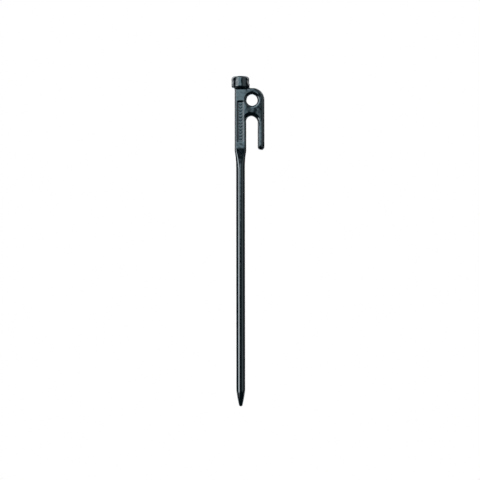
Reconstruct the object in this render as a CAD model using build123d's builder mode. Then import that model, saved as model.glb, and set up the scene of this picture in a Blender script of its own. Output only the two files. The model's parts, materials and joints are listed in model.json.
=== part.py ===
from build123d import *
import os
from math import cos, radians, sin, tan

os.makedirs("parts", exist_ok=True)

# A one-piece forged steel tent stake, upright with its point down. The origin is on the shank's
# axis where the round shank meets the blend, which is the ground line once the stake is driven.
# +Z runs up the axis to the striking head, +X points to the hook, and the blade is flat to Y.
# The forging is cut at its changes of section into zones, which meet face to face.

# Lengths up the axis, in millimetres
overall_length = 300.0
top_height = 83.1  # striking face above the ground line
blend_height = 17.5  # the spine bar starts here
point_length = 14.2

# Striking head, and the neck that flares out under it
head_diameter = 16.1
head_height = 10.6
head_top_round = 2.2
head_under_round = 1.5
neck_height = 1.4

# Spine bar
bar_width = 10.4
bar_thickness = 9.4
edge_round = 2.0

# Eye plate: a round lobe about the guy line eye, which thins out from the spine to the hook
eye_x = 10.55
eye_z = 61.6
eye_radius = 5.05
eye_flare = 2.2
lobe_x = 11.25  # the lobe's centre lies a little up and out from the eye's
lobe_z = 62.2
lobe_radius = 10.5
plate_slope = 4.0  # degrees that each face leans back beside the spine

# Hook finger, which hangs from the eye plate beside the spine
hook_width = 6.0
hook_end_z = 16.4
hook_end_round = 2.7
slot_crown_z = 41.8  # centre of the half-round top of the slot

# Blend from the spine bar to the round shank
shank_diameter = 8.0
face_run = 15.0  # the bar's front and back faces run out to the shank over this height
side_run = 14.0  # its narrow sides run out over this height
side_start = 2.4  # and start this far lower
blend_steps = 10

# Point
tip_radius = 1.75
tip_flank_angle = 12.9  # degrees from the axis to the flank where the tip's ball starts
flank_swell = 0.16  # the flank's swell past a straight cone

# Sunken panel on both faces of the spine, with a row of raised chevrons that point to the tip
panel_width = 6.3
panel_bottom_z = 23.4
panel_top_z = 60.4
panel_depth = 0.6
panel_wall = 1.0  # width of the sloped wall
panel_corner = 1.4
mark_count = 12
mark_pitch = 2.85
mark_width = 4.0
mark_drop = 1.2  # a chevron's middle lies this far below its ends
mark_stroke = 1.8
mark_height = 0.4

# Derived places
head_base_z = top_height - head_height
neck_base_z = head_base_z - neck_height
tip_z = top_height - overall_length
shank_radius = shank_diameter / 2
shank_end_z = tip_z + point_length
bar_side = bar_width / 2
face_y = bar_thickness / 2
floor_y = face_y - panel_depth
hook_outer = lobe_x + lobe_radius
hook_inner = hook_outer - hook_width
shoulder_z = lobe_z + lobe_radius
slot_middle = (bar_side + hook_inner) / 2
slot_radius = (hook_inner - bar_side) / 2
panel_middle_z = (panel_bottom_z + panel_top_z) / 2
plate_split_x = panel_width / 2 + 0.1  # between the panel and the eye's flare
thin_y = face_y - (hook_outer - plate_split_x) * tan(radians(plate_slope))
outline_top_z = head_base_z + 2.5  # the blade's outline ends inside the head
sliver = 0.01  # keeps a short flat between the corner arcs of a section that is nearly round


def near(value, target):
    return abs(value - target) < 0.01


def on_blade_face(edge):
    """An edge that lies whole in the front or the back face of the blade."""
    box = edge.bounding_box()
    return min(abs(box.min.Y), abs(box.max.Y)) > thin_y - 0.01 and box.min.Y * box.max.Y > 0


def is_eye_rim(edge):
    box = edge.bounding_box()
    round_the_eye = near(box.center().X, eye_x) and near(box.center().Z, eye_z)
    return on_blade_face(edge) and round_the_eye and near(box.size.Z, 2 * eye_radius)


def is_blade_rim(edge):
    """An edge of the blade's outline, apart from those in the head and at the blend."""
    box = edge.bounding_box()
    in_head = box.min.Z > shoulder_z - 0.01 and box.max.X < bar_side + 0.01
    at_blend = near(box.max.Z, blend_height)
    is_crease = near(box.min.X, plate_split_x) and near(box.max.X, plate_split_x)
    return on_blade_face(edge) and not (in_head or at_blend or is_crease or is_eye_rim(edge))


def face_plane(side, offset):
    """A plane parallel to the blade that faces out: side -1 is the front, +1 is the back."""
    return Plane(origin=(0, side * offset, 0), x_dir=(-side, 0, 0), z_dir=(0, side, 0))


def finish(part, name):
    part.label = name
    export_step(part, f"parts/{name}.step")


# Striking head: a short round boss with a worn-soft rim
with BuildPart() as striking_head:
    with BuildSketch(Plane.XY.offset(head_base_z)):
        Circle(head_diameter / 2)
    extrude(amount=head_height)
    fillet(striking_head.edges().sort_by(Axis.Z)[-1], head_top_round)
    fillet(striking_head.edges().sort_by(Axis.Z)[0], head_under_round)
finish(striking_head.part, "striking_head")

# Neck: flares from the bar's section to the flat of the head's underside
neck_top_radius = head_diameter / 2 - head_under_round
with BuildPart() as neck:
    with BuildSketch(Plane.XY.offset(neck_base_z)):
        RectangleRounded(bar_width, bar_thickness, edge_round)
    with BuildSketch(Plane.XY.offset(head_base_z)):
        RectangleRounded(2 * neck_top_radius, 2 * neck_top_radius, neck_top_radius - sliver)
    loft()
finish(neck.part, "neck")

# Blade: the spine bar, the eye plate and the hook finger in one outline, before it is cut up
with BuildPart() as blade:
    with BuildSketch(Plane.XZ) as outline:
        with Locations((0, blend_height)):
            Rectangle(bar_width, outline_top_z - blend_height, align=(Align.CENTER, Align.MIN))
        with Locations((0, slot_crown_z)):
            Rectangle(hook_outer, lobe_z - slot_crown_z, align=(Align.MIN, Align.MIN))
        with Locations((0, lobe_z)):
            Rectangle(lobe_x, lobe_radius, align=(Align.MIN, Align.MIN))
        with Locations((hook_inner, hook_end_z)):
            Rectangle(hook_width, slot_crown_z - hook_end_z, align=(Align.MIN, Align.MIN))
        with Locations((lobe_x, lobe_z)):
            Circle(lobe_radius)
        with Locations((eye_x, eye_z)):
            Circle(eye_radius, mode=Mode.SUBTRACT)
        with Locations((slot_middle, slot_crown_z)):
            Circle(slot_radius, mode=Mode.SUBTRACT)
        fillet(outline.vertices().filter_by(lambda v: near(v.Y, hook_end_z)), hook_end_round)
    extrude(amount=face_y, both=True)
    with BuildSketch(Plane.XY.offset(hook_end_z)):
        for side in (-1, 1):
            with BuildLine():
                Polyline(
                    (plate_split_x, side * face_y),
                    (hook_outer, side * thin_y),
                    (hook_outer, side * face_y),
                    close=True,
                )
            make_face()
    extrude(amount=outline_top_z - hook_end_z, mode=Mode.SUBTRACT)
    fillet(blade.edges().filter_by(is_eye_rim), eye_flare)
    fillet(blade.edges().filter_by(is_blade_rim), edge_round)
    for side in (-1, 1):
        for depth_y, wall in ((face_y, 0), (floor_y, panel_wall)):
            with BuildSketch(face_plane(side, depth_y)):
                with Locations((0, panel_middle_z)):
                    RectangleRounded(
                        panel_width - 2 * wall,
                        panel_top_z - panel_bottom_z - 2 * wall,
                        panel_corner - wall,
                    )
        loft(mode=Mode.SUBTRACT)

# Spine: the bar with its two sunken panels, up to the neck
with BuildPart() as spine:
    add(blade)
    with BuildSketch(Plane.XZ):
        with Locations((-bar_side, blend_height)):
            Rectangle(
                bar_side + plate_split_x, neck_base_z - blend_height, align=(Align.MIN, Align.MIN)
            )
        with Locations((0, blend_height)):
            Rectangle(slot_middle, slot_crown_z - blend_height, align=(Align.MIN, Align.MIN))
    extrude(amount=face_y, both=True, mode=Mode.INTERSECT)
finish(spine.part, "spine")

# Hook finger: hangs from the slot's crown beside the spine
with BuildPart() as hook_finger:
    add(blade)
    with BuildSketch(Plane.XZ):
        with Locations((slot_middle, hook_end_z)):
            Rectangle(hook_outer, slot_crown_z - hook_end_z, align=(Align.MIN, Align.MIN))
    extrude(amount=face_y, both=True, mode=Mode.INTERSECT)
finish(hook_finger.part, "hook_finger")

# Eye plate: the lobe with its eye, from the slot's crown up to the head's underside
with BuildPart() as eye_plate:
    add(blade)
    with BuildSketch(Plane.XZ):
        with Locations((plate_split_x, slot_crown_z)):
            Rectangle(hook_outer, shoulder_z - slot_crown_z, align=(Align.MIN, Align.MIN))
    extrude(amount=face_y, both=True, mode=Mode.INTERSECT)
    add(neck, mode=Mode.SUBTRACT)
    with BuildSketch(Plane.XY.offset(head_base_z)):
        Circle(head_diameter / 2)
    extrude(amount=head_height, mode=Mode.SUBTRACT)
finish(eye_plate.part, "eye_plate")

# Blend: the bar's four faces run out in shallow curves as its corners grow into the round shank
with BuildPart() as blend:
    for step in range(blend_steps + 1):
        fall = blend_height * step / blend_steps
        side_left = min(1, max(0, 1 - (fall - side_start) / side_run)) ** 2
        face_left = max(0, 1 - fall / face_run) ** 2
        corner_grown = step / blend_steps
        with BuildSketch(Plane.XY.offset(blend_height - fall)):
            RectangleRounded(
                shank_diameter + side_left * (bar_width - shank_diameter),
                shank_diameter + face_left * (bar_thickness - shank_diameter),
                edge_round + corner_grown * (shank_radius - sliver - edge_round),
            )
    loft(ruled=True)
finish(blend.part, "blend")

# Shank: the round bar that holds in the ground
with BuildPart() as shank:
    with BuildSketch():
        Circle(shank_radius)
    extrude(amount=shank_end_z)
finish(shank.part, "shank")

# Point: a slightly swollen cone with a ball at the tip
flank = radians(tip_flank_angle)
ball_z = tip_z + tip_radius
flank_foot = (tip_radius * cos(flank), ball_z - tip_radius * sin(flank))
flank_top = (shank_radius, shank_end_z)
flank_middle = (
    (flank_foot[0] + flank_top[0]) / 2 + flank_swell, (flank_foot[1] + flank_top[1]) / 2
)
ball_middle = (tip_radius * sin(flank), ball_z - tip_radius * cos(flank))
with BuildPart() as point:
    with BuildSketch(Plane.XZ):
        with BuildLine():
            Polyline((0, tip_z), (0, shank_end_z), flank_top)
            ThreePointArc(flank_top, flank_middle, flank_foot)
            ThreePointArc(flank_foot, ball_middle, (0, tip_z))
        make_face()
    revolve(axis=Axis.Z)
finish(point.part, "point")

# Marks: plain chevrons that stand on each panel's floor, lower than the face around them
chevron = (
    (-mark_width / 2, 0),
    (0, -mark_drop),
    (mark_width / 2, 0),
    (mark_width / 2, -mark_stroke),
    (0, -mark_drop - mark_stroke),
    (-mark_width / 2, -mark_stroke),
)
mark_middle_z = panel_middle_z + (mark_drop + mark_stroke) / 2
for side, name in ((-1, "front_marks"), (1, "back_marks")):
    with BuildPart() as marks:
        with BuildSketch(face_plane(side, floor_y)):
            with Locations((0, mark_middle_z)):
                with GridLocations(mark_pitch, mark_pitch, 1, mark_count):
                    Polygon(*chevron, align=None)
        extrude(amount=mark_height)
    finish(marks.part, name)
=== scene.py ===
import json
import math
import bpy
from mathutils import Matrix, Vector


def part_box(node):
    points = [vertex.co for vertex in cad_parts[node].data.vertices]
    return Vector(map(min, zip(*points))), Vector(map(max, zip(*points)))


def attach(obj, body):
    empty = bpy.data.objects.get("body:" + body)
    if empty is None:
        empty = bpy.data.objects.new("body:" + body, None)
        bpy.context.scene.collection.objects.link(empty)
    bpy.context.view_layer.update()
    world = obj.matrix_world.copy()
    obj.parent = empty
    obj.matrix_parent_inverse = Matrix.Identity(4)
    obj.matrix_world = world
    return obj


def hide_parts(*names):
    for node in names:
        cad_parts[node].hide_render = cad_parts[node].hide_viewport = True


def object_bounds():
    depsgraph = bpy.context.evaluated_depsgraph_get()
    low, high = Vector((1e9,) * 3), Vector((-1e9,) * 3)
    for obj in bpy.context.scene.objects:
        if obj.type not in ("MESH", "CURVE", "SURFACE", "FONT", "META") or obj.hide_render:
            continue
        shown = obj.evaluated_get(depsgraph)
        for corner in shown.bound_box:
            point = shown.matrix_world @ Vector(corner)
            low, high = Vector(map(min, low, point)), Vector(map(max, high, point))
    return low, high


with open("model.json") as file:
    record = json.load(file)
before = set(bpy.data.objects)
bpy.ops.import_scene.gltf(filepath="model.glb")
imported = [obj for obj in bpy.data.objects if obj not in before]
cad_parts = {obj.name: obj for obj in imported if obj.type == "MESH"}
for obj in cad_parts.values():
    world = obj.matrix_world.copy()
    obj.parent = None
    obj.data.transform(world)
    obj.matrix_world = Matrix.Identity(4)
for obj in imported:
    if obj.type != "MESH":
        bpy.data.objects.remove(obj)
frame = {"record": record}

from types import SimpleNamespace

import bmesh
import bpy
import numpy as np
from mathutils import Vector

cad_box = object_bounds()

# The forging is one steel piece, so its skin is one implicit surface, worked out in millimetres
# from the frame, and then shared out among the CAD's zones with no gap or step between them.
MM = 1000.0


def mount(name):
    return next(m for m in frame["record"]["mounts"] if m["name"] == name)


def size_mm(node):
    """A CAD node's lowest and highest corners in millimetres."""
    low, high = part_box(node)
    return low * MM, high * MM


def measure():
    """Named sizes of the stake in millimetres, read from the frame."""
    s = SimpleNamespace()
    low, high = size_mm("striking_head")
    s.head_radius, s.head_base, s.head_top = high.x, low.z, high.z
    low, high = size_mm("spine")
    s.bar_side, s.bar_face, s.bar_base, s.neck_base = high.x, high.y, low.z, high.z
    low, high = size_mm("hook_finger")
    s.hook_inner, s.hook_outer, s.hook_end, s.slot_crown = low.x, high.x, low.z, high.z
    low, high = size_mm("eye_plate")
    s.plate_root, s.plate_top = low.x, high.z
    low, high = size_mm("shank")
    s.shank_radius, s.shank_end, s.shank_top = high.x, low.z, high.z
    s.tip = size_mm("point")[0].z
    low, high = size_mm("front_marks")
    s.panel_floor, s.marks_out = abs(high.y), abs(low.y)
    s.marks_low, s.marks_high, s.marks_side = low.z, high.z, high.x
    eye = mount("guy_eye")
    s.eye_x, s.eye_z = eye["pos_m"][0] * MM, eye["pos_m"][2] * MM
    s.eye_radius = eye["dims"]["r_mm"]
    s.lobe_x, s.lobe_z = s.hook_outer - LOBE_RADIUS, s.plate_top - LOBE_RADIUS
    s.slot_middle = (s.bar_side + s.hook_inner) / 2
    s.slot_radius = (s.hook_inner - s.bar_side) / 2
    return s


# Sizes that the frame doesn't hold, in millimetres: the eye plate's lobe, the soft edges, and
# what only shows close up
LOBE_RADIUS = 10.5
S = measure()
BAR_ROUND = 1.75
BAR_CUT = 1.5  # beside the slot and the eye, the bar's field ends this far from the axis
HOOK_ROUND = 2.75  # the eye plate and the hook are rounder than the bar
FINGER_ROUND = 1.1  # on the finger's side of the slot
NOSE_ROUND = 3.6  # at the finger's end
EYE_FLARE = 2.45
HOOK_END_ROUND = 2.7
FINGER_CROWN = 0.065  # the finger's face falls off by this times a squared distance, which
FINGER_CROWN_LINE = 2.4  # is measured from a line this far in from the finger's outer side
FINGER_CROWN_START, FINGER_CROWN_FULL = 3.0, -6.0  # heights above the slot's crown
FINGER_EASE = 1.0  # the finger's own shape sets in this far to each side of the slot's middle
NOSE_START, NOSE_FULL = 7.0, 3.0  # heights above the finger's end
SLOT_CROWN_LEAN = 0.12  # the slot's crown leans to the spine by this much for its height
SLOT_CROWN_ROUND = 3.6  # and is rounder than the slot's sides
SLOT_CROWN_START, SLOT_CROWN_FULL = -2.0, 4.0  # heights above the slot's crown
SLOT_EASE = 1.0
SLOT_CLOSING = 0.6  # the slot's walls close in by this much for the depth below
SLOT_CLOSING_DROP = 0.5  # a line this far under the bar's base
CORNER_LIMIT = 0.98  # keeps the slot's opening at the finger's end short of upright
SHOULDER_FOOT = 5.0  # the plate's shoulder is laid down to this far under the eye's centre
HEAD_TOP_ROUND = 2.3
HEAD_UNDER_ROUND = 1.8
NECK_FILLET = 1.7
LEAN_ANGLE = math.radians(4.0)  # each face of the eye plate leans back from the spine
LEAN_START = S.plate_root + 0.25
LEAN_EASE = 1.8
LEAN_BASE = S.bar_base + 5  # the spine's face starts to lean above this height
LEAN_RISE = 5.0  # and leans in full this far above it
BAR_TOP = S.head_base + 3  # the bar's own field ends inside the head
FACE_RUN_OUT = 15.0  # the bar's faces run out into the shank over this height
FACE_CURVE = 1.5  # power of that run-out, where 1 would be straight
SIDE_CURVE = 2
SIDE_RUN_OUT = 14.0
SIDE_START = 2.4  # its sides start to run out this far below the faces
CREASE_EASE = 1.3
PANEL_SIDE = 3.15
PANEL_WALL = 0.95
PANEL_END_GAP = 1.57  # from the outer marks to the panel's ends
PANEL_CORNER = 1.5
PANEL_EDGE_ROUND = 0.25
FLASH_HEIGHT = 0.09  # what is left of the flash where the two dies met
FLASH_WIDTH = 0.38
SCALE_DEPTH = 0.012  # slow unevenness of the forged skin under the paint
SHANK_SHARE, BLADE_SHARE, HEAD_SHARE = 0.45, 0.55, 1.6  # the shank's, and what the others add
BLADE_LOW, BLADE_HIGH = S.shank_top + 4, S.bar_base + 2  # the blade's share sets in between these
HEAD_LOW, HEAD_HIGH = S.neck_base - 1, S.head_base + 1  # and the head's between these
TIP_RADIUS = 1.75
TIP_FLANK = math.radians(12.9)
FLANK_SWELL = 0.16
SHOULDER_EASE = 0.2  # softens the edge between the shank and the point


# Distance fields: negative inside, positive outside

def smooth_step(low, high, value):
    t = np.clip((value - low) / (high - low), 0, 1)
    return t * t * (3 - 2 * t)


def eased_ramp(value, ease):
    """Zero below -ease, value above +ease, and a parabola between."""
    bend = np.clip(value + ease, 0, 2 * ease)
    return bend * bend / (4 * ease) + np.maximum(value - ease, 0)


def round_meet(a, b, radius):
    """What is inside both, with a rounded edge where their surfaces meet."""
    corner = np.hypot(np.maximum(a + radius, 0), np.maximum(b + radius, 0))
    return np.minimum(-radius, np.maximum(a, b)) + corner


def fillet_join(a, b, radius):
    """What is inside either, with a hollow fillet where their surfaces meet."""
    corner = np.hypot(np.maximum(radius - a, 0), np.maximum(radius - b, 0))
    return np.maximum(radius, np.minimum(a, b)) - corner


def rounded_box(u, v, half_u, half_v, corner):
    a, b = np.abs(u) - half_u + corner, np.abs(v) - half_v + corner
    outside = np.hypot(np.maximum(a, 0), np.maximum(b, 0))
    return outside + np.minimum(np.maximum(a, b), 0) - corner


def box_between(u, v, low_u, high_u, low_v, high_v, corner=0.0):
    middle_u, middle_v = (low_u + high_u) / 2, (low_v + high_v) / 2
    return rounded_box(
        u - middle_u, v - middle_v, (high_u - low_u) / 2, (high_v - low_v) / 2, corner
    )


def round_radius(z):
    """Radius at height z of the round shank and its point: a ball at the tip, a slightly
    swollen flank, and a softened edge where the flank reaches the shank."""
    ball_middle = S.tip + TIP_RADIUS
    foot_r = TIP_RADIUS * math.cos(TIP_FLANK)
    foot_z = ball_middle - TIP_RADIUS * math.sin(TIP_FLANK)
    rise = (z - foot_z) / (S.shank_end - foot_z)
    t = np.clip(rise, 0, 1)
    growth = S.shank_radius - foot_r
    flank = foot_r + growth * t + 4 * FLANK_SWELL * t * (1 - t)
    flank = flank + (growth - 4 * FLANK_SWELL) * np.maximum(rise - 1, 0)
    flank = S.shank_radius - eased_ramp(S.shank_radius - flank, SHOULDER_EASE)
    ball = np.sqrt(np.maximum(TIP_RADIUS**2 - (z - ball_middle) ** 2, 0))
    return np.where(z < foot_z, ball, flank)


def bar_field(x, y, z):
    """The whole bar: square spine, blend, round shank and point. Beside the slot and the eye,
    its right-hand side is left to the plate's field."""
    fall = eased_ramp(S.bar_base - z, CREASE_EASE)
    side_fall = eased_ramp(S.bar_base - SIDE_START - z, CREASE_EASE)
    side_left = np.maximum(0, 1 - side_fall / SIDE_RUN_OUT) ** SIDE_CURVE
    face_left = np.maximum(0, 1 - fall / FACE_RUN_OUT) ** FACE_CURVE
    grown = np.clip(fall / (S.bar_base - S.shank_top), 0, 1)
    narrow = round_radius(z)
    half_side = narrow + side_left * (S.bar_side - S.shank_radius)
    half_face = narrow + face_left * (S.bar_face - S.shank_radius)
    corner = BAR_ROUND + grown * (S.shank_radius - BAR_ROUND)
    corner = np.minimum(corner, np.minimum(half_side, half_face))
    section = rounded_box(x, y, half_side, half_face, corner)
    ends = np.maximum(S.tip - z, z - BAR_TOP)
    bar = np.maximum(section, ends)
    return np.where(z > LEAN_BASE, np.maximum(bar, x - BAR_CUT), bar)


def slot_field(x, z):
    """The open slot between the spine and the hook, which has no lower end. Its crown leans
    a little to the spine."""
    corner = np.clip(S.hook_end + HOOK_END_ROUND - z, 0, CORNER_LIMIT * HOOK_END_ROUND)
    opening = HOOK_END_ROUND - np.sqrt(HOOK_END_ROUND**2 - corner**2)
    wall = np.abs(x - S.slot_middle) - S.slot_radius - opening * (x > S.slot_middle)
    leaning_x = x - S.slot_middle + SLOT_CROWN_LEAN * eased_ramp(z - S.slot_crown, SLOT_EASE)
    crown = np.hypot(leaning_x, z - S.slot_crown) - S.slot_radius
    below = eased_ramp(S.bar_base - SLOT_CLOSING_DROP - z, SLOT_EASE)
    return np.where(z < S.slot_crown, wall, crown) + SLOT_CLOSING * below


def plate_field(x, y, z):
    """The eye plate and the hook finger, with the bar's right-hand edge."""
    block = box_between(x, z, -HOOK_ROUND, S.hook_outer, S.hook_end, S.lobe_z)
    block = np.where(
        (x > S.hook_inner) & (z < S.hook_end + HOOK_END_ROUND),
        box_between(x, z, -HOOK_ROUND, S.hook_outer, S.hook_end, S.lobe_z, HOOK_END_ROUND),
        block,
    )
    foot = S.eye_z - SHOULDER_FOOT
    shoulder = box_between(x, z, -HOOK_ROUND, S.lobe_x, foot, S.plate_top)
    lobe = np.hypot(x - S.lobe_x, z - S.lobe_z) - LOBE_RADIUS
    root = box_between(x, z, -HOOK_ROUND, S.bar_side + HOOK_ROUND, foot, BAR_TOP)
    outline = np.minimum(np.minimum(block, shoulder), np.minimum(lobe, root))
    slot = slot_field(x, z)
    on_finger = smooth_step(S.slot_middle - FINGER_EASE, S.slot_middle + FINGER_EASE, x)
    leaning = np.maximum(smooth_step(LEAN_BASE, LEAN_BASE + LEAN_RISE, z), on_finger)
    lean = math.tan(LEAN_ANGLE) * eased_ramp(x - LEAN_START, LEAN_EASE) * leaning
    crowned = on_finger * smooth_step(
        S.slot_crown + FINGER_CROWN_START, S.slot_crown + FINGER_CROWN_FULL, z
    )
    crown = FINGER_CROWN * (x - S.hook_outer + FINGER_CROWN_LINE) ** 2 * crowned
    thick = (np.abs(y) - (S.bar_face - lean - crown)) * math.cos(LEAN_ANGLE)
    in_nose = smooth_step(S.hook_end + NOSE_START, S.hook_end + NOSE_FULL, z) * on_finger
    plate = round_meet(outline, thick, HOOK_ROUND + (NOSE_ROUND - HOOK_ROUND) * in_nose)
    side_round = BAR_ROUND + (FINGER_ROUND - BAR_ROUND) * on_finger
    in_crown = smooth_step(S.slot_crown + SLOT_CROWN_START, S.slot_crown + SLOT_CROWN_FULL, z)
    plate = round_meet(plate, -slot, side_round + (SLOT_CROWN_ROUND - side_round) * in_crown)
    eye = np.hypot(x - S.eye_x, z - S.eye_z) - S.eye_radius
    return round_meet(plate, -eye, EYE_FLARE)


def head_field(x, y, z):
    out = np.hypot(x, y)
    middle = (S.head_base + S.head_top) / 2
    half = (S.head_top - S.head_base) / 2
    upper = rounded_box(out, z - middle, S.head_radius, half, HEAD_TOP_ROUND)
    lower = rounded_box(out, z - middle, S.head_radius, half, HEAD_UNDER_ROUND)
    return np.where(z > middle, upper, lower)


def panel_field(x, y, z):
    """The sunken panels in the spine's two faces, with sloped walls."""
    low, high = S.marks_low - PANEL_END_GAP, S.marks_high + PANEL_END_GAP
    outline = box_between(x, z, -PANEL_SIDE, PANEL_SIDE, low, high, PANEL_CORNER)
    steepness = PANEL_WALL / (S.bar_face - S.panel_floor)
    wall = (outline + (S.bar_face - np.abs(y)) * steepness) / math.hypot(1, steepness)
    floor = S.panel_floor - np.abs(y)
    return round_meet(wall, floor, PANEL_EDGE_ROUND)


def unevenness(seed, count, shortest, longest):
    """A slow, seeded, three-dimensional ripple of about unit size."""
    rng = np.random.default_rng(seed)
    directions = rng.normal(size=(count, 3))
    directions /= np.linalg.norm(directions, axis=1)[:, None]
    lengths = np.geomspace(shortest, longest, count)
    waves = directions * (2 * math.pi / lengths)[:, None]
    shifts = rng.uniform(0, 2 * math.pi, count)

    def ripple(x, y, z):
        total = 0.0
        for wave, shift in zip(waves, shifts):
            total = total + np.sin(wave[0] * x + wave[1] * y + wave[2] * z + shift)
        return total * math.sqrt(2 / count)

    return ripple


forged_skin = unevenness(seed=11, count=14, shortest=2.6, longest=9.0)


def stake_field(x, y, z):
    """The whole forging."""
    bar = bar_field(x, y, z)
    plate = plate_field(x, y, z)
    body = np.minimum(bar, plate)
    body = fillet_join(body, head_field(x, y, z), NECK_FILLET)
    body = round_meet(body, -panel_field(x, y, z), PANEL_EDGE_ROUND)
    in_blade = smooth_step(BLADE_LOW, BLADE_HIGH, z)
    in_head = smooth_step(HEAD_LOW, HEAD_HIGH, z)
    body = body - FLASH_HEIGHT * np.exp(-((y / FLASH_WIDTH) ** 2)) * in_blade * (1 - in_head)
    depth = SCALE_DEPTH * (SHANK_SHARE + BLADE_SHARE * in_blade + HEAD_SHARE * in_head)
    return body + depth * forged_skin(x, y, z)


# Zones, by name, and the rule that shares the inside of the forging out among them

ZONES = [
    "point", "shank", "blend", "spine", "hook_finger", "eye_plate", "neck", "striking_head",
]
NECK_SIDE = S.head_radius - 1.6  # the neck's zone ends here, under the head's rim
RIM_SEAM = S.head_base + 1.2  # where the eye plate's shoulder gives way to the head's side


def zone_of(x, y, z):
    """Number of the zone that each inside point is in, from 1."""
    right = x > S.slot_middle
    beside = x > S.plate_root
    under_rim = x > NECK_SIDE
    choices = [
        (z < S.shank_end, "point"),
        (z < S.shank_top, "shank"),
        ((z < S.slot_crown) & right, "hook_finger"),
        (z < S.bar_base, "blend"),
        (z < S.slot_crown, "spine"),
        ((z < S.neck_base) & ~beside, "spine"),
        (z < S.neck_base, "eye_plate"),
        ((z < S.head_base) & ~under_rim, "neck"),
        ((z < RIM_SEAM) & under_rim, "eye_plate"),
    ]
    numbers = [ZONES.index(name) + 1 for _, name in choices]
    last = ZONES.index("striking_head") + 1
    return np.select([c for c, _ in choices], numbers, default=last)


# Surface nets: one vertex in each grid cell that the skin or a seam passes through

def graded_axis(breaks, steps):
    """Sample places along an axis, and the place of each cell between two samples.

    Every break is the middle of a cell, so that a seam there runs along whole cells."""
    samples = []
    for low, high, step in zip(breaks, breaks[1:], steps):
        count = max(1, round((high - low) / step))
        width = (high - low) / count
        samples.extend(low + width * (n + 0.5) for n in range(count))
    samples = np.array(samples)
    middles = (samples[1:] + samples[:-1]) / 2
    for place in breaks[1:-1]:
        middles[np.argmin(np.abs(middles - place))] = place
    return samples, middles


def label_grid(axes):
    """Zone number at every sample, 0 outside, worked out a few layers at a time."""
    xs, ys, zs = axes
    labels = np.zeros((len(xs), len(ys), len(zs)), np.uint8)
    x, y = np.meshgrid(xs, ys, indexing="ij")
    x, y = x[:, :, None], y[:, :, None]
    layers = 24
    for start in range(0, len(zs), layers):
        z = zs[None, None, start : start + layers]
        inside = stake_field(x, y, z) < 0
        labels[:, :, start : start + layers] = np.where(inside, zone_of(x, y, z), 0)
    return labels


def gradient(points, reach=0.02):
    x, y, z = points.T
    return np.stack(
        [
            stake_field(x + reach, y, z) - stake_field(x - reach, y, z),
            stake_field(x, y + reach, z) - stake_field(x, y - reach, z),
            stake_field(x, y, z + reach) - stake_field(x, y, z - reach),
        ],
        axis=1,
    ) / (2 * reach)


def pull_to_skin(points, free, rounds, longest=0.3, least_steep=0.05):
    """Moves points onto the skin, along the axes in which each is free."""
    for _ in range(rounds):
        slope = gradient(points) * free
        steep = np.maximum((slope**2).sum(axis=1), least_steep)
        step = slope * (stake_field(*points.T) / steep)[:, None]
        points = points - np.clip(step, -longest, longest)
    return points


def relax(points, quads, on_skin, free, rounds):
    """Evens out the mesh along the skin, so that its faces are nearly square."""
    edges = np.concatenate([quads[:, [a, (a + 1) % 4]] for a in range(4)])
    edges = np.unique(np.sort(edges, axis=1), axis=0)
    for _ in range(rounds):
        total = np.zeros_like(points)
        number = np.zeros(len(points))
        for a, b in ((0, 1), (1, 0)):
            np.add.at(total, edges[:, a], points[edges[:, b]])
            np.add.at(number, edges[:, a], 1)
        middle = total / np.maximum(number, 1)[:, None]
        moved = points + 0.5 * (middle - points) * free * on_skin[:, None]
        points[on_skin] = pull_to_skin(moved[on_skin], free[on_skin], 1)
    return points


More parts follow.
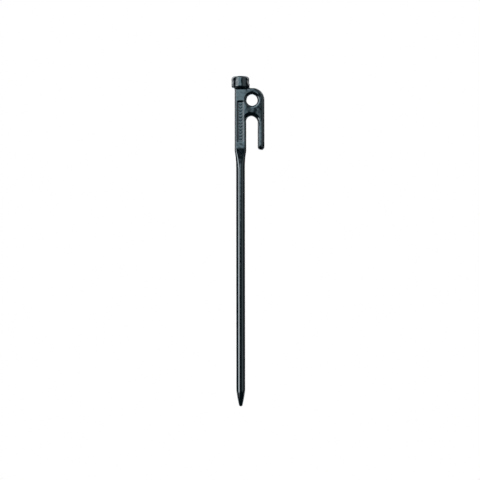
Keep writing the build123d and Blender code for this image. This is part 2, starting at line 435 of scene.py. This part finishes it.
def zone_meshes():
    """Points of the whole forging, and for each zone its faces: skin first, then seams."""
    # Each axis has its breaks, and the grid's step between each two of them
    x_axis = graded_axis(
        [-9.4, -5.7, -3.5, S.plate_root, NECK_SIDE, 23.0], [0.32, 0.2, 0.16, 0.24, 0.3]
    )
    y_axis = graded_axis([-9.4, -4.9, -3.4, 3.4, 4.9, 9.4], [0.32, 0.13, 0.3, 0.13, 0.32])
    z_axis = graded_axis(
        [S.tip - 0.6, S.shank_end, S.shank_top, S.bar_base, S.marks_low - 2.5, S.slot_crown,
         S.marks_high + 2.5, S.neck_base, S.head_base, RIM_SEAM, S.head_top + 0.9],
        [0.25, 1.0, 0.4, 0.3, 0.2, 0.2, 0.3, 0.28, 0.28, 0.3],
    )
    axes = [a[0] for a in (x_axis, y_axis, z_axis)]
    middles = [a[1] for a in (x_axis, y_axis, z_axis)]
    labels = label_grid(axes)

    cell_shape = tuple(n - 1 for n in labels.shape)
    crossed = np.zeros(cell_shape, bool)
    seam = [np.zeros(cell_shape, bool) for _ in range(3)]
    outside = np.zeros(cell_shape, bool)
    corner = (slice(0, -1), slice(1, None))
    first = labels[corner[0], corner[0], corner[0]]
    for i in (0, 1):
        for j in (0, 1):
            for k in (0, 1):
                here = labels[corner[i], corner[j], corner[k]]
                crossed |= here != first
                outside |= here == 0
    for axis in range(3):
        for one in (0, 1):
            for two in (0, 1):
                low = [corner[one], corner[two]]
                high = list(low)
                low.insert(axis, corner[0])
                high.insert(axis, corner[1])
                a, b = labels[tuple(low)], labels[tuple(high)]
                seam[axis] |= (a != b) & (a > 0) & (b > 0)

    number = np.full(cell_shape, -1)
    number[crossed] = np.arange(crossed.sum())
    cells = np.argwhere(crossed)
    points = np.stack([middles[a][cells[:, a]] for a in range(3)], axis=1)
    free = np.stack([~seam[a][crossed] for a in range(3)], axis=1).astype(float)
    on_skin = outside[crossed]
    points[on_skin] = pull_to_skin(points[on_skin], free[on_skin], 6)

    faces = {n: {"skin": [], "seams": []} for n in range(1, len(ZONES) + 1)}
    for axis in range(3):
        low, high = [slice(None)] * 3, [slice(None)] * 3
        low[axis], high[axis] = slice(0, -1), slice(1, None)
        a, b = labels[tuple(low)], labels[tuple(high)]
        at = np.argwhere(a != b)
        pair = np.stack([a[tuple(at.T)], b[tuple(at.T)]], axis=1)
        u, v = (axis + 1) % 3, (axis + 2) % 3
        around = []
        for du, dv in ((-1, -1), (0, -1), (0, 0), (-1, 0)):
            cell = at.copy()
            cell[:, u] += du
            cell[:, v] += dv
            around.append(number[tuple(cell.T)])
        quads = np.stack(around, axis=1)
        for side, ring in ((0, quads), (1, quads[:, ::-1])):
            mine, other = pair[:, side], pair[:, 1 - side]
            for n in faces:
                faces[n]["skin"].append(ring[(mine == n) & (other == 0)])
                faces[n]["seams"].append(ring[(mine == n) & (other > 0)])
    for parts in faces.values():
        for kind in parts:
            parts[kind] = np.concatenate(parts[kind])
    skin = np.concatenate([parts["skin"] for parts in faces.values()])
    points = relax(points, skin, on_skin, free, 4)
    points[on_skin] = pull_to_skin(points[on_skin], free[on_skin], 3)
    return points, faces


def build_mesh(name, points, skin, seams, normals):
    """A closed mesh of one zone. The skin takes the field's own normals, so no seam shows."""
    quads = np.concatenate([skin, seams])
    used, local = np.unique(quads, return_inverse=True)
    local = local.reshape(-1, 4)
    mesh = bpy.data.meshes.new(name)
    mesh.from_pydata((points[used] / MM).tolist(), [], local.tolist())
    mesh.polygons.foreach_set("use_smooth", np.ones(len(quads), bool))
    mesh.update()
    flat = np.zeros((len(quads), 3), np.float32)
    mesh.polygons.foreach_get("normal", flat.reshape(-1))
    loop_normals = np.repeat(flat, 4, axis=0)
    loop_normals[: 4 * len(skin)] = normals[skin.reshape(-1)]
    mesh.normals_split_custom_set(loop_normals.tolist())
    return mesh


def add_object(name, mesh, material):
    piece = bpy.data.objects.new(name, mesh)
    bpy.context.scene.collection.objects.link(piece)
    mesh.materials.append(material)
    return piece


# Chevrons that stand on the panel's floor, in millimetres

MARK_PITCH = 2.85
MARK_DROP = 1.2  # a chevron's middle lies this far below its ends
MARK_STROKE = 1.8
MARK_DRAFT = 0.55  # how far its flanks slope in
MARK_FOOT = 0.12  # it stands in the floor by this much
MARK_BEVEL = 0.14
RIM_ANGLE = 0.3  # edges of its top that turn by more than this are bevelled, in radians
SHARP_ANGLE = math.radians(40)


def chevron_marks(name, side):
    """One row of raised chevrons with sloped, rounded flanks, on the front (-1) or back (1)."""
    width, drop, stroke, draft = 2 * S.marks_side, MARK_DROP, MARK_STROKE, MARK_DRAFT
    count = 1 + round((S.marks_high - S.marks_low - drop - stroke) / MARK_PITCH)
    foot, top = S.panel_floor - MARK_FOOT, S.marks_out
    work = bmesh.new()
    for n in range(count):
        high = S.marks_high - n * MARK_PITCH
        outline = [
            (-width / 2, 0), (-width / 2, -stroke), (0, -drop - stroke),
            (width / 2, -stroke), (width / 2, 0), (0, -drop),
        ]
        inner = [
            (-width / 2 + draft, -draft), (-width / 2 + draft, -stroke + draft),
            (0, -drop - stroke + draft), (width / 2 - draft, -stroke + draft),
            (width / 2 - draft, -draft), (0, -drop - draft),
        ]
        rings = []
        for ring, out in ((outline, foot), (inner, top)):
            rings.append(
                [work.verts.new((x / MM, side * out / MM, (high + z) / MM)) for x, z in ring]
            )
        low_ring, top_ring = rings
        for a in range(6):
            b = (a + 1) % 6
            work.faces.new((low_ring[a], low_ring[b], top_ring[b], top_ring[a]))
        for ring, flip in ((low_ring, True), (top_ring, False)):
            for half in ((0, 1, 2, 5), (5, 2, 3, 4)):
                corners = [ring[i] for i in half]
                work.faces.new(corners[::-1] if flip else corners)
    bmesh.ops.recalc_face_normals(work, faces=work.faces)
    rim = [
        e for e in work.edges
        if all(abs(v.co.y) * MM > top - 0.01 for v in e.verts)
        and e.calc_face_angle(0) > RIM_ANGLE
    ]
    bmesh.ops.bevel(
        work, geom=rim, offset=MARK_BEVEL / MM, segments=3, affect="EDGES", profile=0.5
    )
    mesh = bpy.data.meshes.new(name)
    work.to_mesh(mesh)
    work.free()
    mesh.polygons.foreach_set("use_smooth", np.ones(len(mesh.polygons), bool))
    mesh.set_sharp_from_angle(angle=SHARP_ANGLE)
    return mesh


# Black coat

def noise(nodes, links, place, scale, detail):
    texture = nodes.new("ShaderNodeTexNoise")
    texture.inputs["Scale"].default_value = scale
    texture.inputs["Detail"].default_value = detail
    links.new(place, texture.inputs["Vector"])
    return texture.outputs["Fac"]


def span(nodes, links, value, low, high):
    """A noise's value, most of which lies between 0.3 and 0.7, spread from low to high."""
    remap = nodes.new("ShaderNodeMapRange")
    remap.inputs["From Min"].default_value = 0.3
    remap.inputs["From Max"].default_value = 0.7
    remap.inputs["To Min"].default_value = low
    remap.inputs["To Max"].default_value = high
    links.new(value, remap.inputs["Value"])
    return remap.outputs["Result"]


def black_coat():
    """Semi-gloss black coat over a forged skin: cool black, mottled gloss, fine orange peel."""
    material = bpy.data.materials.new("black_coat")
    material.use_nodes = True
    nodes, links = material.node_tree.nodes, material.node_tree.links
    shader = nodes["Principled BSDF"]
    place = nodes.new("ShaderNodeTexCoord").outputs["Object"]

    tint = nodes.new("ShaderNodeMix")
    tint.data_type = "RGBA"
    tint.inputs["A"].default_value = (0.0004, 0.0013, 0.0018, 1)
    tint.inputs["B"].default_value = (0.0010, 0.0026, 0.0034, 1)
    cloud = noise(nodes, links, place, 260, 4.0)
    links.new(span(nodes, links, cloud, 0, 1), tint.inputs["Factor"])
    links.new(tint.outputs["Result"], shader.inputs["Base Color"])

    gloss = noise(nodes, links, place, 420, 3.0)
    links.new(span(nodes, links, gloss, 0.085, 0.15), shader.inputs["Roughness"])

    skin = nodes.new("ShaderNodeBump")
    skin.inputs["Strength"].default_value = 0.25
    skin.inputs["Distance"].default_value = 0.00006
    links.new(noise(nodes, links, place, 700, 3.0), skin.inputs["Height"])
    peel = nodes.new("ShaderNodeBump")
    peel.inputs["Strength"].default_value = 0.25
    peel.inputs["Distance"].default_value = 0.00002
    links.new(noise(nodes, links, place, 2600, 1.0), peel.inputs["Height"])
    links.new(skin.outputs["Normal"], peel.inputs["Normal"])
    links.new(peel.outputs["Normal"], shader.inputs["Normal"])

    shader.inputs["IOR"].default_value = 1.5
    return material


# Studio, in metres

STAGE_RADIUS = 4.0
BACKDROP_HEIGHT = 5.0
FLOOR_GAP = 0.0005  # the floor lies this far under the tip
BACKDROP_DROP = 0.01  # and the backdrop's base this far under the floor
AMBIENT = (0.012, 0.018, 0.021)
CAMERA_DISTANCE = 1.1
FRAME_WIDTH = 0.4368  # what the camera takes in at the stake
CAMERA_ASIDE, CAMERA_ABOVE = -0.00054, 0.0014  # from the shank's axis and the stake's middle
CAMERA_ROLL = math.radians(0.07)


def white_stage():
    """A plain white floor and a round white backdrop, which only the camera sees."""
    material = bpy.data.materials.new("stage_white")
    material.use_nodes = True
    nodes, links = material.node_tree.nodes, material.node_tree.links
    glow = nodes.new("ShaderNodeEmission")
    glow.inputs["Color"].default_value = (1, 1, 1, 1)
    links.new(glow.outputs["Emission"], nodes["Material Output"].inputs["Surface"])
    for name, height in (("floor", 0.0), ("backdrop", BACKDROP_HEIGHT)):
        work = bmesh.new()
        bmesh.ops.create_circle(work, cap_ends=True, segments=96, radius=STAGE_RADIUS)
        if height:
            base = list(work.faces)
            walls = bmesh.ops.extrude_face_region(work, geom=base)["geom"]
            verts = [v for v in walls if isinstance(v, bmesh.types.BMVert)]
            bmesh.ops.translate(work, vec=(0, 0, height), verts=verts)
            bmesh.ops.translate(work, vec=(0, 0, -BACKDROP_DROP), verts=work.verts)
        mesh = bpy.data.meshes.new(name)
        work.to_mesh(mesh)
        work.free()
        piece = add_object(name, mesh, material)
        piece.location.z = cad_box[0].z - FLOOR_GAP
        piece.visible_diffuse = piece.visible_glossy = piece.visible_shadow = False


def softbox(tree, direction, azimuth, elevation, width, height, edge, colour, strength):
    """Light from a soft-edged box in the sky, seen from the object: angles in degrees,
    azimuth 0 towards -Y and positive to +X. Returns its colour output."""
    nodes, links = tree.nodes, tree.links
    az, el = math.radians(azimuth), math.radians(elevation)
    ahead = Vector((math.sin(az) * math.cos(el), -math.cos(az) * math.cos(el), math.sin(el)))
    across = Vector((math.cos(az), math.sin(az), 0))
    up = ahead.cross(across)

    def dot(vector):
        node = nodes.new("ShaderNodeVectorMath")
        node.operation = "DOT_PRODUCT"
        links.new(direction, node.inputs[0])
        node.inputs[1].default_value = vector
        return node.outputs["Value"]

    def math_node(operation, a, b):
        node = nodes.new("ShaderNodeMath")
        node.operation = operation
        for socket, value in zip(node.inputs, (a, b)):
            if isinstance(value, (int, float)):
                socket.default_value = value
            else:
                links.new(value, socket)
        return node.outputs["Value"]

    depth = dot(ahead)
    window = None
    for axis, extent in ((across, width), (up, height)):
        off = math_node("ARCTAN2", math_node("ABSOLUTE", dot(axis), 0), depth)
        half, soft = math.radians(extent / 2), math.radians(edge)
        step = nodes.new("ShaderNodeMapRange")
        step.interpolation_type = "SMOOTHSTEP"
        step.inputs["From Min"].default_value = half - soft / 2
        step.inputs["From Max"].default_value = half + soft / 2
        step.inputs["To Min"].default_value = 1
        step.inputs["To Max"].default_value = 0
        links.new(off, step.inputs["Value"])
        value = step.outputs["Result"]
        window = value if window is None else math_node("MULTIPLY", window, value)
    scaled = nodes.new("ShaderNodeVectorMath")
    scaled.operation = "SCALE"
    scaled.inputs[0].default_value = [strength * c for c in colour]
    links.new(window, scaled.inputs["Scale"])
    return scaled.outputs["Vector"]


def studio_light():
    world = bpy.data.worlds.new("studio")
    bpy.context.scene.world = world
    world.use_nodes = True
    tree = world.node_tree
    nodes, links = tree.nodes, tree.links
    direction = nodes.new("ShaderNodeTexCoord").outputs["Generated"]
    boxes = [
        # azimuth, elevation, width, height, soft edge, colour, strength
        (-44, 18, 33, 76, 10, (0.88, 1.0, 1.06), 5.2),  # tall strip at the left
        (-52, -9, 28, 24, 10, (0.88, 1.0, 1.06), 6.2),  # its lower end, which is brighter
        (-13, 31.8, 44, 58, 9, (0.70, 1.0, 1.13), 4.3),  # cool panel over the camera
        (50, 18, 49, 64, 13, (0.80, 1.0, 1.06), 1.1),  # weak fill at the right
        (-123, 38, 48, 66, 10, (0.95, 1.0, 1.03), 3.2),  # surround, rear left
        (118, 40, 42, 66, 10, (0.95, 1.0, 1.03), 2.4),  # surround, rear right
        (180, 5, 22, 120, 8, (0.9, 1.0, 1.05), 2.2),  # strip dead astern
        (120, -56, 40, 34, 10, (0.9, 1.0, 1.05), 0.6),  # floor bounce, right
        (-120, -56, 40, 34, 10, (0.9, 1.0, 1.05), 0.6),  # floor bounce, left
        (135, -22, 46, 20, 8, (0.9, 1.0, 1.05), 1.8),  # low fill, rear right
        (-135, -22, 46, 20, 8, (0.9, 1.0, 1.05), 1.8),  # low fill, rear left
    ]
    total = None
    for box in boxes:
        colour = softbox(tree, direction, *box)
        if total is None:
            total = colour
        else:
            add = nodes.new("ShaderNodeVectorMath")
            add.operation = "ADD"
            links.new(total, add.inputs[0])
            links.new(colour, add.inputs[1])
            total = add.outputs["Vector"]
    base = nodes.new("ShaderNodeVectorMath")
    base.operation = "ADD"
    links.new(total, base.inputs[0])
    base.inputs[1].default_value = AMBIENT
    background = nodes["Background"]
    links.new(base.outputs["Vector"], background.inputs["Color"])
    background.inputs["Strength"].default_value = 1.0


def place_camera():
    """Level with the stake's middle, square to its front."""
    data = bpy.data.cameras.new("camera")
    data.sensor_width = 36.0
    data.lens = data.sensor_width * CAMERA_DISTANCE / FRAME_WIDTH
    camera = bpy.data.objects.new("camera", data)
    bpy.context.scene.collection.objects.link(camera)
    low, high = cad_box
    camera.location = (CAMERA_ASIDE, -CAMERA_DISTANCE, (low.z + high.z) / 2 + CAMERA_ABOVE)
    camera.rotation_euler = (math.radians(90), CAMERA_ROLL, 0)
    bpy.context.scene.camera = camera


bpy.context.scene.view_settings.view_transform = "Standard"
place_camera()
white_stage()
studio_light()
coat = black_coat()

points, faces = zone_meshes()
normals = gradient(points)
normals /= np.maximum(np.linalg.norm(normals, axis=1), 1e-9)[:, None]
for number, zone in enumerate(ZONES, 1):
    parts = faces[number]
    mesh = build_mesh(zone, points, parts["skin"], parts["seams"], normals)
    piece = add_object("forged_" + zone, mesh, coat)
    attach(piece, "root")
    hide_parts(zone)
for node, side in (("front_marks", -1), ("back_marks", 1)):
    piece = add_object("raised_" + node, chevron_marks(node, side), coat)
    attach(piece, "root")
    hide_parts(node)
